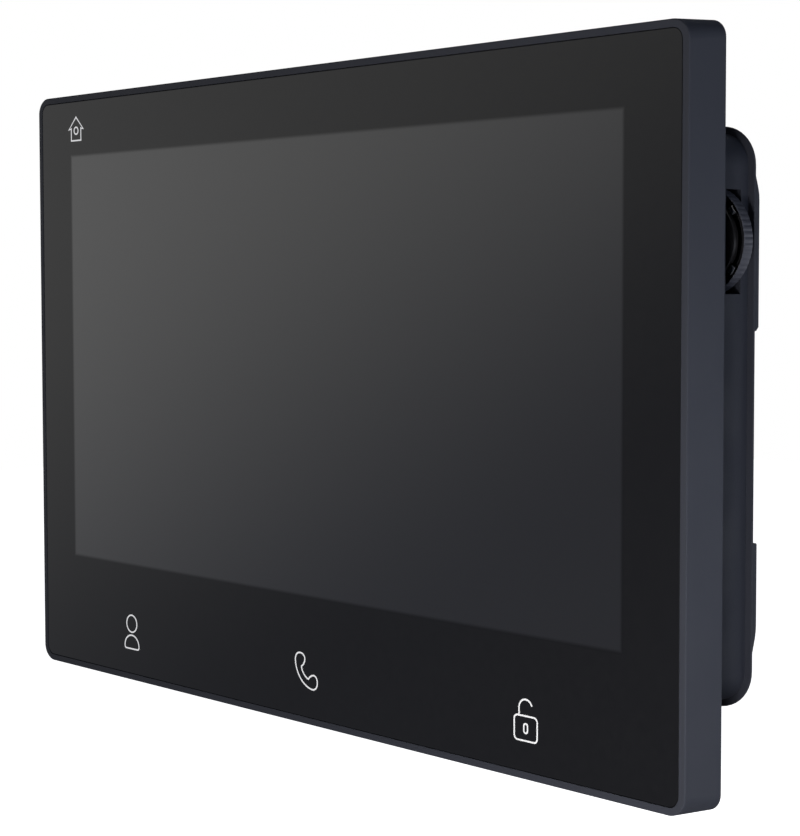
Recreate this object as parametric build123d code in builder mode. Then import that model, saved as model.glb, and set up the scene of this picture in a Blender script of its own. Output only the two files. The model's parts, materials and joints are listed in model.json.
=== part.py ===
from build123d import *
import os

# A wall-hung video intercom monitor with a 7-inch display. Millimetres, X right as seen from the
# room, Z up, Y towards the wall. The origin is on the wall plane, behind the middle of the front.
# Every level below is a height above the wall plane, so a level h lies at Y = -h. A sketch on
# level(h) has X to the right and Z up, and extrudes towards the room.

# Front frame and glass
frame_width = 180.0
frame_height = 124.0
frame_corner = 3.4
frame_flare = 0.44
frame_rear_corner = 2.9
frame_front = 23.5
frame_rear = 14.8
frame_wall = 2.0
frame_edge = 0.15
rim_width = 1.35
glass_gap = 0.05
glass_sink = 0.05
glass_thickness = 1.75
tape_thickness = 0.2
ledge_thickness = 1.5
ledge_side = 4.4
ledge_top = 2.2
tape_width = 3.4

# Rear cover
skin = 2.0
flange_rear = 14.0
flange_thickness = 1.5
flange_gap = 0.1
cover_side = 85.45
cover_top = 45.85
cover_bottom = -47.7
cover_corner = 5.4
cover_rear = 1.6
lip_overhang = 1.2
lip_thickness = 0.55
lip_round = 0.25
recess_width = 107.0
recess_top = 41.6
recess_bottom = -43.6
recess_corner = 4.0
recess_depth = 2.5
pad_rear = 0.3
pad_inner = 64.0
pad_outer = 86.3
upper_pad_bevel = 0.65
lower_pad_bevel = 0.2
upper_pad_start = 13.6
upper_pad_end = 34.9
upper_ramp_end = 40.7
lower_pad_start = -21.2
lower_pad_end = -34.8
lower_ramp_end = -41.6

# Wall bracket and its hooks
bracket_width = 100.0
bracket_height = 76.0
bracket_corner = 4.0
sheet = 1.2
cable_window_width = 44.0
cable_window_height = 30.0
box_screw_spacing = 60.0
box_slot_length = 8.0
box_slot_width = 4.2
wall_screw_spacing_x = 84.0
wall_screw_spacing_z = 60.0
wall_screw_radius = 2.2
hook_x = 30.0
hook_z = (-22.0, 22.0)
hook_width = 8.0
hook_lip = 5.0
hook_gap = 0.2
hook_rest_gap = 0.05
hook_slot_width = 9.4
hook_slot_height = 6.9
hook_lance = 11.2

# Display module, 7-inch outline 164.9 x 100 x 5.7
display_x = -0.2
active_width = 154.08
active_height = 85.92
active_z = 5.72
module_width = 164.9
module_height = 100.0
module_thickness = 5.7
module_top_border = 4.9
bezel_sheet = 0.4
bezel_opening_margin = 1.4
cell_thickness = 1.5
flex_thickness = 0.2
display_flex_width = 26.0
key_flex_x = 34.0
key_flex_width = 8.0

# Touch key board and microphone
key_x = (-56.7, -0.3, 56.1)
key_z = -51.7
key_board_width = 126.0
key_board_top = -47.8
key_board_bottom = -54.8
key_board_thickness = 0.8
key_pad_radius = 3.0
key_pad_hole = 1.6
key_pad_height = 0.95
microphone_x = 14.0
microphone_level = 17.75
microphone_radius = 1.5
microphone_length = 1.6
boot_radius = 2.05
boot_length = 3.3
sound_hole_radius = 0.6

# Main board
board_left = -52.0
board_right = 82.9
board_top = 39.5
board_bottom = -41.0
board_rear = 11.9
board_thickness = 1.6
standoffs = ((-47.0, 34.0), (-47.0, -37.0), (62.0, 36.0), (77.0, -37.0))
standoff_radius = 2.6
pilot_radius = 0.8
socket_window_width = 44.0
socket_window_height = 16.0
socket_height = 7.0
socket_depth = 5.8
socket_pitch = 2.5
socket_wall = 0.8
pin_side = 0.64

# Speaker
speaker_x = -69.4
speaker_z = -3.8
speaker_radius = 13.0
speaker_wall = 1.4
speaker_depth = 5.1
magnet_radius = 6.6
magnet_height = 2.8
grille_hole_radius = 0.9

# Volume dial
dial_x = 79.33
dial_z = 28.3
dial_radius = 9.2
dial_rear = 4.9
dial_thickness = 2.3
dial_recess_radius = 8.9
dial_recess = 1.0
dial_hub_radius = 7.3
knurls = 60
knurl_depth = 0.2
wiper_radius = 7.9
wiper_sheet = 0.2
wiper_turn = 36
tip_radius = 8.15
shaft_radius = 1.5
shaft_running_gap = 0.05
pot_radius = 3.7
pot_gap = 0.5
dial_slot_top = 36.5
dial_slot_bottom = 19.65
dial_slot_rear = 4.1
dial_slot_front = 8.1
dial_slot_relief = 1.0
dial_screw_seat = 1.2
dial_edge = 0.2

# Screws: self-tapping M2, pan heads
screw_clearance = 1.1
head_radius = 1.9
head_height = 1.2
cover_screw_x = 78.0
cover_screw_z = 57.2
cup_radius = 2.6
cup_height = 2.5
boss_radius = 2.2

# Levels and outlines that follow from the sizes above
glass_front = frame_front - glass_sink
glass_rear = glass_front - glass_thickness
ledge_front = glass_rear - tape_thickness
ledge_rear = ledge_front - ledge_thickness
flange_front = flange_rear + flange_thickness
cup_front = flange_rear + cup_height
skirt_width = frame_width - 2 * frame_wall
skirt_height = frame_height - 2 * frame_wall
cover_height = cover_top - cover_bottom
cover_middle = (cover_top + cover_bottom) / 2
recess_middle = (recess_top + recess_bottom) / 2
recess_height = recess_top - recess_bottom
recess_floor = cover_rear + recess_depth
module_front = ledge_front
module_rear = module_front - module_thickness
module_z = active_z + active_height / 2 + module_top_border - module_height / 2
module_bottom = module_z - module_height / 2
board_front = board_rear + board_thickness
board_middle = ((board_left + board_right) / 2, (board_top + board_bottom) / 2)
key_board_front = glass_rear - key_pad_height
key_board_rear = key_board_front - key_board_thickness
hook_lip_rear = recess_floor + skin + hook_gap
cup_floor = flange_rear + head_height + 0.1


def level(height):
    """The plane parallel to the wall at a height above it, looking from the room."""
    return Plane.XZ.offset(height)


os.makedirs("parts", exist_ok=True)

# ---------------------------------------------------------------- wall bracket
with BuildPart() as wall_bracket:
    with BuildSketch(level(0)):
        RectangleRounded(bracket_width, bracket_height, bracket_corner)
        RectangleRounded(cable_window_width, cable_window_height, 2, mode=Mode.SUBTRACT)
        with GridLocations(box_screw_spacing, 0, 2, 1):
            SlotOverall(box_slot_length, box_slot_width, mode=Mode.SUBTRACT)
        with GridLocations(wall_screw_spacing_x, wall_screw_spacing_z, 2, 2):
            Circle(wall_screw_radius, mode=Mode.SUBTRACT)
        for z in hook_z:
            with Locations((-hook_x, z - hook_lance / 2), (hook_x, z - hook_lance / 2)):
                Rectangle(hook_width + 0.6, hook_lance, mode=Mode.SUBTRACT)
    extrude(amount=sheet)
    for z in hook_z:
        with BuildSketch(level(0)):
            with Locations((-hook_x, z + sheet / 2), (hook_x, z + sheet / 2)):
                Rectangle(hook_width, sheet)
        extrude(amount=hook_lip_rear + sheet)
        with BuildSketch(level(hook_lip_rear)):
            with Locations((-hook_x, z + sheet), (hook_x, z + sheet)):
                Rectangle(hook_width, hook_lip, align=(Align.CENTER, Align.MIN))
        extrude(amount=sheet)
wall_bracket.part.label = "wall_bracket"
export_step(wall_bracket.part, "parts/wall_bracket.step")

# ---------------------------------------------------------------- front frame
with BuildPart() as front_frame:
    # level, how far the outline stands out of the front one, and its corner radius: the skirt
    # flares towards the wall, and both of its edges are broken
    for height, growth, corner in (
        (frame_rear, frame_flare - frame_edge, frame_rear_corner - frame_edge),
        (frame_rear + frame_edge, frame_flare, frame_rear_corner),
        (frame_front - frame_edge, 0, frame_corner),
        (frame_front, -frame_edge, frame_corner - frame_edge),
    ):
        with BuildSketch(level(height)):
            RectangleRounded(frame_width + 2 * growth, frame_height + 2 * growth, corner)
    loft(ruled=True)
    # the seat of the glass, the window behind it and the hollow of the skirt
    with BuildSketch(level(ledge_front)):
        RectangleRounded(
            frame_width - 2 * rim_width + 2 * glass_gap,
            frame_height - 2 * rim_width + 2 * glass_gap,
            frame_corner - rim_width + glass_gap,
        )
    extrude(amount=frame_front - ledge_front, mode=Mode.SUBTRACT)
    with BuildSketch(level(frame_rear)):
        RectangleRounded(skirt_width - 2 * ledge_side, skirt_height - 2 * ledge_top, 3)
    extrude(amount=frame_front - frame_rear, mode=Mode.SUBTRACT)
    with BuildSketch(level(frame_rear)):
        RectangleRounded(skirt_width, skirt_height, frame_corner - frame_wall)
    extrude(amount=ledge_rear - frame_rear, mode=Mode.SUBTRACT)
    # bosses that take the cover screws
    with BuildSketch(level(cup_front)):
        with GridLocations(cover_screw_x, 2 * cover_screw_z, 3, 2):
            Circle(boss_radius)
    extrude(amount=ledge_front - cup_front)
    with BuildSketch(level(cup_front)):
        with GridLocations(cover_screw_x, 2 * cover_screw_z, 3, 2):
            Circle(pilot_radius)
    extrude(amount=3.5, mode=Mode.SUBTRACT)
    # the hole that lets sound reach the microphone, through the lower wall
    with BuildSketch(Plane.XY.offset(-frame_height / 2 - frame_flare)):
        with Locations((microphone_x, -microphone_level)):
            Circle(sound_hole_radius)
    extrude(amount=frame_wall + frame_flare, mode=Mode.SUBTRACT)
front_frame.part.label = "front_frame"
export_step(front_frame.part, "parts/front_frame.step")

# ---------------------------------------------------------------- front glass and its tapes
with BuildPart() as front_glass:
    with BuildSketch(level(glass_rear)):
        RectangleRounded(
            frame_width - 2 * rim_width, frame_height - 2 * rim_width, frame_corner - rim_width
        )
    extrude(amount=glass_thickness)
    chamfer(front_glass.edges().group_by(Axis.Y)[0], length=0.15)
front_glass.part.label = "front_glass"
export_step(front_glass.part, "parts/front_glass.step")

with BuildPart() as glass_tape:
    with BuildSketch(level(ledge_front)):
        RectangleRounded(frame_width - 2 * rim_width - 1, frame_height - 2 * rim_width - 1, 1.8)
        RectangleRounded(
            frame_width - 2 * rim_width - 2 * tape_width,
            frame_height - 2 * rim_width - tape_width,
            1,
            mode=Mode.SUBTRACT,
        )
    extrude(amount=tape_thickness)
glass_tape.part.label = "glass_tape"
export_step(glass_tape.part, "parts/glass_tape.step")

with BuildPart() as display_tape:
    with BuildSketch(level(module_front)):
        with Locations((display_x, module_z)):
            Rectangle(module_width - 1, module_height - 1)
        with Locations((display_x, active_z)):
            Rectangle(active_width + 5, active_height + 5, mode=Mode.SUBTRACT)
    extrude(amount=tape_thickness)
display_tape.part.label = "display_tape"
export_step(display_tape.part, "parts/display_tape.step")

# ---------------------------------------------------------------- display module
with BuildPart() as display_bezel:
    with BuildSketch(level(module_rear)):
        with Locations((display_x, module_z)):
            RectangleRounded(module_width, module_height, 0.8)
    extrude(amount=module_thickness)
    with BuildSketch(level(module_rear + bezel_sheet)):
        with Locations((display_x, module_z)):
            Rectangle(module_width - 2 * bezel_sheet, module_height - 2 * bezel_sheet)
    extrude(amount=module_thickness - 2 * bezel_sheet, mode=Mode.SUBTRACT)
    with BuildSketch(level(module_front - bezel_sheet)):
        with Locations((display_x, active_z)):
            Rectangle(
                active_width + 2 * bezel_opening_margin, active_height + 2 * bezel_opening_margin
            )
    extrude(amount=bezel_sheet, mode=Mode.SUBTRACT)
    # a slot in the lower wall lets the flex cable out
    with BuildSketch(level(module_front - bezel_sheet - cell_thickness)):
        with Locations((display_x, module_bottom)):
            Rectangle(display_flex_width + 2, 2 * bezel_sheet + 0.2)
    extrude(amount=cell_thickness, mode=Mode.SUBTRACT)
display_bezel.part.label = "display_bezel"
export_step(display_bezel.part, "parts/display_bezel.step")

with BuildPart() as display_cell:
    with BuildSketch(level(module_front - bezel_sheet - cell_thickness)):
        with Locations((display_x, module_z)):
            Rectangle(module_width - 3, module_height - 3)
    extrude(amount=cell_thickness)
display_cell.part.label = "display_cell"
export_step(display_cell.part, "parts/display_cell.step")

with BuildPart() as display_backlight:
    with BuildSketch(level(module_rear + bezel_sheet)):
        with Locations((display_x, module_z)):
            Rectangle(module_width - 2 * bezel_sheet - 0.4, module_height - 2 * bezel_sheet - 0.4)
    extrude(amount=module_thickness - 2 * bezel_sheet - cell_thickness - 0.1)
display_backlight.part.label = "display_backlight"
export_step(display_backlight.part, "parts/display_backlight.step")

# The flex cables are bands bent round the lower edge of the display module. Each is traced in the
# plane of Y and Z, where a level h is Y = -h, and extruded along X.
flex_turn_z = module_bottom - 1.0
flex_level = flange_front - 0.7
cell_middle = module_front - bezel_sheet - cell_thickness / 2
with BuildPart() as display_flex:
    with BuildSketch(Plane.YZ.offset(display_x - display_flex_width / 2)):
        with BuildLine():
            FilletPolyline(
                (-cell_middle, module_bottom + 1.4),
                (-cell_middle, flex_turn_z),
                (-flex_level, flex_turn_z),
                (-flex_level, flex_turn_z + 12),
                radius=0.5,
            )
        trace(line_width=flex_thickness)
    extrude(amount=display_flex_width)
display_flex.part.label = "display_flex"
export_step(display_flex.part, "parts/display_flex.step")

with BuildPart() as key_flex:
    with BuildSketch(Plane.YZ.offset(key_flex_x - key_flex_width / 2)):
        with BuildLine():
            FilletPolyline(
                (-key_board_rear + flex_thickness / 2 + 0.02, key_board_bottom + 1.5),
                (-key_board_rear + flex_thickness / 2 + 0.02, key_board_top - 0.5),
                (-flex_level, key_board_top - 0.5),
                (-flex_level, key_board_top + 12),
                radius=0.4,
            )
        trace(line_width=flex_thickness)
    extrude(amount=key_flex_width)
key_flex.part.label = "key_flex"
export_step(key_flex.part, "parts/key_flex.step")

# ---------------------------------------------------------------- touch key board
with BuildPart() as key_board:
    with BuildSketch(level(key_board_rear)):
        with Locations((0, (key_board_top + key_board_bottom) / 2)):
            RectangleRounded(key_board_width, key_board_top - key_board_bottom, 0.8)
    extrude(amount=key_board_thickness)
key_board.part.label = "key_board"
export_step(key_board.part, "parts/key_board.step")

with BuildPart() as key_pads:
    with BuildSketch(level(key_board_front)):
        for x in key_x:
            with Locations((x, key_z)):
                Circle(key_pad_radius)
                Circle(key_pad_hole, mode=Mode.SUBTRACT)
    extrude(amount=key_pad_height)
key_pads.part.label = "key_pads"
export_step(key_pads.part, "parts/key_pads.step")

with BuildPart() as key_lights:
    with BuildSketch(level(key_board_front)):
        for x in key_x:
            with Locations((x, key_z)):
                Rectangle(1.6, 0.8)
    extrude(amount=0.6)
key_lights.part.label = "key_lights"
export_step(key_lights.part, "parts/key_lights.step")

# ---------------------------------------------------------------- microphone in its boot
boot_bottom = -skirt_height / 2
with BuildPart() as microphone_boot:
    with BuildSketch(Plane.XY.offset(boot_bottom)):
        with Locations((microphone_x, -microphone_level)):
            Circle(boot_radius)
            Circle(sound_hole_radius, mode=Mode.SUBTRACT)
    extrude(amount=boot_length)
    with BuildSketch(Plane.XY.offset(boot_bottom + 1)):
        with Locations((microphone_x, -microphone_level)):
            Circle(microphone_radius + 0.02)
    extrude(amount=boot_length - 1, mode=Mode.SUBTRACT)
microphone_boot.part.label = "microphone_boot"
export_step(microphone_boot.part, "parts/microphone_boot.step")

with BuildPart() as microphone:
    with BuildSketch(Plane.XY.offset(boot_bottom + 1)):
        with Locations((microphone_x, -microphone_level)):
            Circle(microphone_radius)
    extrude(amount=microphone_length)
microphone.part.label = "microphone"
export_step(microphone.part, "parts/microphone.step")

lead_start = boot_bottom + 1 + microphone_length
with BuildPart() as microphone_leads:
    for side in (-0.6, 0.6):
        with BuildSketch(Plane.YZ.offset(microphone_x + side - 0.15)):
            with BuildLine():
                FilletPolyline(
                    (-microphone_level, lead_start + 0.15),
                    (-microphone_level, lead_start + 2.4),
                    (-key_board_rear + 0.17, lead_start + 4.6),
                    (-key_board_rear + 0.17, lead_start + 6),
                    radius=0.4,
                )
            trace(line_width=0.3)
        extrude(amount=0.3)
microphone_leads.part.label = "microphone_leads"
export_step(microphone_leads.part, "parts/microphone_leads.step")

# ---------------------------------------------------------------- rear cover
with BuildPart() as rear_cover:
    # flange that closes the frame's skirt
    with BuildSketch(level(flange_rear)):
        RectangleRounded(
            skirt_width - 2 * flange_gap, skirt_height - 2 * flange_gap, frame_corner - frame_wall
        )
    extrude(amount=flange_thickness)
    # housing walls, then the thin lip round the back
    with BuildSketch(level(cover_rear)):
        with Locations((0, cover_middle)):
            RectangleRounded(2 * cover_side, cover_height, cover_corner)
    extrude(amount=flange_rear - cover_rear)
    with BuildSketch(level(cover_rear)):
        with Locations((0, cover_middle)):
            RectangleRounded(
                2 * (cover_side + lip_overhang),
                cover_height + 2 * lip_overhang,
                cover_corner + lip_overhang,
            )
    extrude(amount=lip_thickness)
    fillet(rear_cover.edges().group_by(Axis.Y)[-1], radius=lip_round)
    # raised pads at the four corners of the back, each with a bevel at its start and an
    # S-shaped ramp at its outer end
    for start, end, ramp, pad_bevel in (
        (upper_pad_start, upper_pad_end, upper_ramp_end, upper_pad_bevel),
        (lower_pad_start, lower_pad_end, lower_ramp_end, lower_pad_bevel),
    ):
        for inner in (-pad_outer, pad_inner):
            with BuildSketch(Plane.YZ.offset(inner)):
                with BuildLine():
                    climb = Vector(0, ramp - end).normalized()
                    bevel = climb * pad_bevel
                    Line((-cover_rear - lip_thickness / 2, start), (-pad_rear - pad_bevel, start))
                    Line((-pad_rear - pad_bevel, start), (-pad_rear, start + bevel.Y))
                    Line((-pad_rear, start + bevel.Y), (-pad_rear, end))
                    Spline((-pad_rear, end), (-cover_rear, ramp), tangents=(climb, climb))
                    Line((-cover_rear, ramp), (-cover_rear - lip_thickness / 2, ramp))
                    Line((-cover_rear - lip_thickness / 2, ramp), (-cover_rear - lip_thickness / 2, start))
                make_face()
            extrude(amount=pad_outer - pad_inner)
    # hollow, with the recess for the bracket standing into it
    with BuildSketch(level(cover_rear + skin)):
        with Locations((0, cover_middle)):
            RectangleRounded(
                2 * (cover_side - skin), cover_height - 2 * skin, cover_corner - skin
            )
    extrude(amount=flange_front - cover_rear - skin, mode=Mode.SUBTRACT)
    with BuildSketch(level(cover_rear)):
        with Locations((0, recess_middle)):
            RectangleRounded(recess_width + 2 * skin, recess_height + 2 * skin, recess_corner + skin)
    extrude(amount=recess_depth + skin)
    with BuildSketch(level(cover_rear)):
        with Locations((0, recess_middle)):
            RectangleRounded(recess_width, recess_height, recess_corner)
    extrude(amount=recess_depth, mode=Mode.SUBTRACT)
    # standoffs of the main board, on the floor of the recess and beside it
    for floor, spots in ((recess_floor, standoffs[:2]), (cover_rear, standoffs[2:])):
        with BuildSketch(level(floor + skin / 2)):
            with Locations(*spots):
                Circle(standoff_radius)
        extrude(amount=board_rear - floor - skin / 2)
    with BuildSketch(level(board_rear - 4)):
        with Locations(*standoffs):
            Circle(pilot_radius)
    extrude(amount=4, mode=Mode.SUBTRACT)
    # ring wall that holds the speaker, and the grille in front of it
    with BuildSketch(level(cover_rear + skin / 2)):
        with Locations((speaker_x, speaker_z)):
            Circle(speaker_radius + 1.1)
            Circle(speaker_radius + 0.1, mode=Mode.SUBTRACT)
    extrude(amount=speaker_depth)
    with BuildSketch(level(cover_rear)):
        with Locations((speaker_x, speaker_z)):
            Circle(grille_hole_radius)
            for ring, count in ((3.4, 6), (6.8, 12), (10.0, 18)):
                with PolarLocations(ring, count):
                    Circle(grille_hole_radius)
    extrude(amount=skin, mode=Mode.SUBTRACT)
    # cups for the cover screws, each with a counterbore in the flange
    with BuildSketch(level(flange_rear)):
        with GridLocations(cover_screw_x, 2 * cover_screw_z, 3, 2):
            Circle(cup_radius)
    extrude(amount=cup_height)
    with BuildSketch(level(flange_rear)):
        with GridLocations(cover_screw_x, 2 * cover_screw_z, 3, 2):
            Circle(head_radius + 0.1)
    extrude(amount=cup_floor - flange_rear, mode=Mode.SUBTRACT)
    with BuildSketch(level(flange_rear)):
        with GridLocations(cover_screw_x, 2 * cover_screw_z, 3, 2):
            Circle(screw_clearance)
    extrude(amount=cup_height, mode=Mode.SUBTRACT)
    # window over the sockets and slots for the bracket's hooks
    with BuildSketch(level(recess_floor)):
        RectangleRounded(socket_window_width, socket_window_height, 1)
        for z in hook_z:
            slot_top = z + sheet + hook_rest_gap
            with Locations((-hook_x, slot_top), (hook_x, slot_top)):
                Rectangle(hook_slot_width, hook_slot_height, align=(Align.CENTER, Align.MAX))
    extrude(amount=skin, mode=Mode.SUBTRACT)
    # slot in the right wall for the volume dial
    with BuildSketch(level(dial_slot_rear)):
        with Locations((cover_side, (dial_slot_top + dial_slot_bottom) / 2)):
            Rectangle(3 * skin, dial_slot_top - dial_slot_bottom)
    extrude(amount=dial_slot_front - dial_slot_rear, mode=Mode.SUBTRACT)
    # the wall is thinner round the slot, so that the dial turns clear of it
    with BuildSketch(level(dial_slot_rear)):
        with Locations((cover_side - skin, (dial_slot_top + dial_slot_bottom) / 2)):
            Rectangle(2 * dial_slot_relief, dial_slot_top - dial_slot_bottom + 2 * skin)
    extrude(amount=dial_slot_front - dial_slot_rear, mode=Mode.SUBTRACT)
    # pockets in the flange where the two flex cables turn back
    with BuildSketch(level(flange_front - 1)):
        for x, width in ((display_x, display_flex_width), (key_flex_x, key_flex_width)):
            with Locations((x, cover_bottom + skin)):
                Rectangle(width + 2, 3.6, align=(Align.CENTER, Align.MAX))
    extrude(amount=1, mode=Mode.SUBTRACT)
rear_cover.part.label = "rear_cover"
export_step(rear_cover.part, "parts/rear_cover.step")

# ---------------------------------------------------------------- main board
with BuildPart() as main_board:
    with BuildSketch(level(board_rear)):
        with Locations(board_middle):
            RectangleRounded(board_right - board_left, board_top - board_bottom, 1.5)
        with Locations(*standoffs):
            Circle(screw_clearance, mode=Mode.SUBTRACT)
        with Locations((dial_x, dial_z)):
            Circle(shaft_radius + 0.3, mode=Mode.SUBTRACT)
    extrude(amount=board_thickness)
main_board.part.label = "main_board"
export_step(main_board.part, "parts/main_board.step")

# chips and passive parts: name, size along X, size along Z, height, corner round and places.
# They stand on the board's rear face, towards the wall.
chip_groups = (
    ("processor", 17.0, 17.0, 1.4, 0.5, ((6.0, 27.0),)),
    ("memory_chips", 13.0, 8.0, 1.1, 0.3, ((-14.0, 31.0), (-14.0, 20.0))),
    ("signal_chips", 10.0, 6.2, 1.6, 0.3, ((-14.0, -24.0), (6.0, -24.0), (34.0, 8.0))),
    ("regulator_chips", 5.0, 4.0, 1.5, 0.3, ((52.0, -12.0), (52.0, -22.0))),
    ("power_inductors", 6.8, 6.8, 3.2, 1.6, ((60.0, -12.0), (60.0, -22.0))),
    ("clock_crystal", 11.0, 4.6, 3.4, 2.2, ((24.0, 35.0),)),
)
for name, width, height, thickness, corner, spots in chip_groups:
    with BuildPart() as chips:
        with BuildSketch(level(board_rear - thickness)):
            with Locations(*spots):
                RectangleRounded(width, height, corner)
        extrude(amount=thickness)
        chamfer(chips.edges().group_by(Axis.Y)[-1], length=0.2)
    chips.part.label = name
    export_step(chips.part, "parts/" + name + ".step")

capacitor_spots = ((71.0, -10.0), (71.0, -18.0), (71.0, -26.0), (60.0, 2.0))
with BuildPart() as capacitors:
    with BuildSketch(level(board_rear - 0.8)):
        with Locations(*capacitor_spots):
            Rectangle(6.6, 6.6)
    extrude(amount=0.8)
    with BuildSketch(level(board_rear - 5.6)):
        with Locations(*capacitor_spots):
            Circle(3.15)
    extrude(amount=5.0)
    chamfer(capacitors.edges().group_by(Axis.Y)[-1], length=0.3)
capacitors.part.label = "capacitors"
export_step(capacitors.part, "parts/capacitors.step")

# Sockets behind the window: two four-pin ones for the door stations, one two-pin one for power
sockets = ((-12.5, 4), (2.5, 4), (14.5, 2))
socket_rear = board_rear - socket_height
with BuildPart() as door_sockets:
    with BuildSketch(level(socket_rear)):
        for x, pins in sockets:
            with Locations((x, 0)):
                Rectangle(pins * socket_pitch + 2.4, socket_depth)
    extrude(amount=socket_height)
    with BuildSketch(level(socket_rear)):
        for x, pins in sockets:
            with Locations((x, 0)):
                Rectangle(
                    pins * socket_pitch + 2.4 - 2 * socket_wall, socket_depth - 2 * socket_wall
                )
    extrude(amount=socket_height - 1.6, mode=Mode.SUBTRACT)
    with BuildSketch(level(board_rear - 2)):
        for x, pins in sockets:
            with Locations((x, 0)):
                with GridLocations(socket_pitch, 0, pins, 1):
                    Rectangle(pin_side, pin_side)
    extrude(amount=2, mode=Mode.SUBTRACT)
door_sockets.part.label = "door_sockets"
export_step(door_sockets.part, "parts/door_sockets.step")

with BuildPart() as socket_pins:
    with BuildSketch(level(socket_rear + 1.2)):
        for x, pins in sockets:
            with Locations((x, 0)):
                with GridLocations(socket_pitch, 0, pins, 1):
                    Rectangle(pin_side, pin_side)
    extrude(amount=socket_height - 1.2)
socket_pins.part.label = "socket_pins"
export_step(socket_pins.part, "parts/socket_pins.step")

# Flex sockets on the board's front face, at the free ends of the two cables
flex_end = flex_turn_z + 12
key_flex_end = key_board_top + 12
with BuildPart() as flex_sockets:
    for x, width, end in (
        (display_x, display_flex_width, flex_end),
        (key_flex_x, key_flex_width, key_flex_end),
    ):
        with BuildSketch(level(board_front)):
            with Locations((x, end + 0.2)):
                Rectangle(width + 3, 4.4, align=(Align.CENTER, Align.MIN))
        extrude(amount=1.4)
flex_sockets.part.label = "flex_sockets"
export_step(flex_sockets.part, "parts/flex_sockets.step")

# ---------------------------------------------------------------- speaker
speaker_rear = cover_rear + skin
with BuildPart() as speaker_basket:
    with BuildSketch(level(speaker_rear)):
        with Locations((speaker_x, speaker_z)):
            Circle(speaker_radius)
            Circle(speaker_radius - speaker_wall, mode=Mode.SUBTRACT)
    extrude(amount=speaker_depth)
    with BuildSketch(level(speaker_rear + speaker_depth - 0.8)):
        with Locations((speaker_x, speaker_z)):
            Circle(speaker_radius)
            Circle(magnet_radius - 1.6, mode=Mode.SUBTRACT)
            with PolarLocations(9.2, 4):
                Circle(1.6, mode=Mode.SUBTRACT)
    extrude(amount=0.8)
speaker_basket.part.label = "speaker_basket"
export_step(speaker_basket.part, "parts/speaker_basket.step")

cone_rear = speaker_rear + 1.2
with BuildPart() as speaker_cone:
    with BuildSketch(Plane.XY.offset(speaker_z)):
        with BuildLine():
            Polyline(
                (speaker_x, -cone_rear - 0.2),
                (speaker_x + 3.4, -cone_rear - 1.2),
                (speaker_x + 4.6, -cone_rear - 1.6),
                (speaker_x + 9.6, -cone_rear - 0.3),
                (speaker_x + 11.5, -cone_rear - 0.3),
                (speaker_x + 11.5, -cone_rear - 0.7),
                (speaker_x + 9.8, -cone_rear - 0.7),
                (speaker_x + 4.6, -cone_rear - 2.1),
                (speaker_x + 3.2, -cone_rear - 1.6),
                (speaker_x, -cone_rear - 0.6),
                close=True,
            )
        make_face()
    revolve(axis=Axis((speaker_x, 0, speaker_z), (0, 1, 0)))
speaker_cone.part.label = "speaker_cone"
export_step(speaker_cone.part, "parts/speaker_cone.step")

with BuildPart() as speaker_magnet:
    with BuildSketch(level(speaker_rear + speaker_depth)):
        with Locations((speaker_x, speaker_z)):
            Circle(magnet_radius)
    extrude(amount=magnet_height)
    chamfer(speaker_magnet.edges(), length=0.3)
    with BuildSketch(level(speaker_rear + speaker_depth - 1.2)):
        with Locations((speaker_x, speaker_z)):
            Circle(3.0)
    extrude(amount=1.3)
speaker_magnet.part.label = "speaker_magnet"
export_step(speaker_magnet.part, "parts/speaker_magnet.step")

speaker_plug_x = board_left + 5
speaker_plug_z = 12.0
lead_level = board_rear - 1.6
with BuildPart() as speaker_plug:
    with BuildSketch(level(board_rear - 3.2)):
        with Locations((speaker_plug_x, speaker_plug_z)):
            RectangleRounded(5, 5.6, 0.4)
    extrude(amount=3.2)
speaker_plug.part.label = "speaker_plug"
export_step(speaker_plug.part, "parts/speaker_plug.step")

with BuildPart() as speaker_leads:
    for shift in (-0.6, 0.6):
        with BuildLine(level(lead_level)) as lead_path:
            FilletPolyline(
                (speaker_x + 9 - shift, speaker_z + 7.4),
                (speaker_x + 9 - shift, speaker_plug_z + shift),
                (speaker_plug_x - 2.5, speaker_plug_z + shift),
                radius=3,
            )
        with BuildSketch(Plane(lead_path.line @ 0, z_dir=lead_path.line % 0)):
            Circle(0.5)
        sweep(path=lead_path.line)
speaker_leads.part.label = "speaker_leads"
export_step(speaker_leads.part, "parts/speaker_leads.step")

# ---------------------------------------------------------------- volume control
dial_front = dial_rear + dial_thickness
pot_rear = dial_front + pot_gap
with BuildPart() as potentiometer:
    with BuildSketch(level(pot_rear)):
        with Locations((dial_x, dial_z)):
            Circle(pot_radius)
    extrude(amount=board_rear - pot_rear)
    with BuildSketch(level(board_rear - 0.8)):
        with Locations((dial_x - 4.5, dial_z)):
            Rectangle(7, 7.5)
    extrude(amount=0.8)
    with BuildSketch(level(pot_rear)):
        with Locations((dial_x, dial_z)):
            Circle(shaft_radius + shaft_running_gap)
    extrude(amount=board_rear - pot_rear, mode=Mode.SUBTRACT)
potentiometer.part.label = "potentiometer"
export_step(potentiometer.part, "parts/potentiometer.step")

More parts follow.
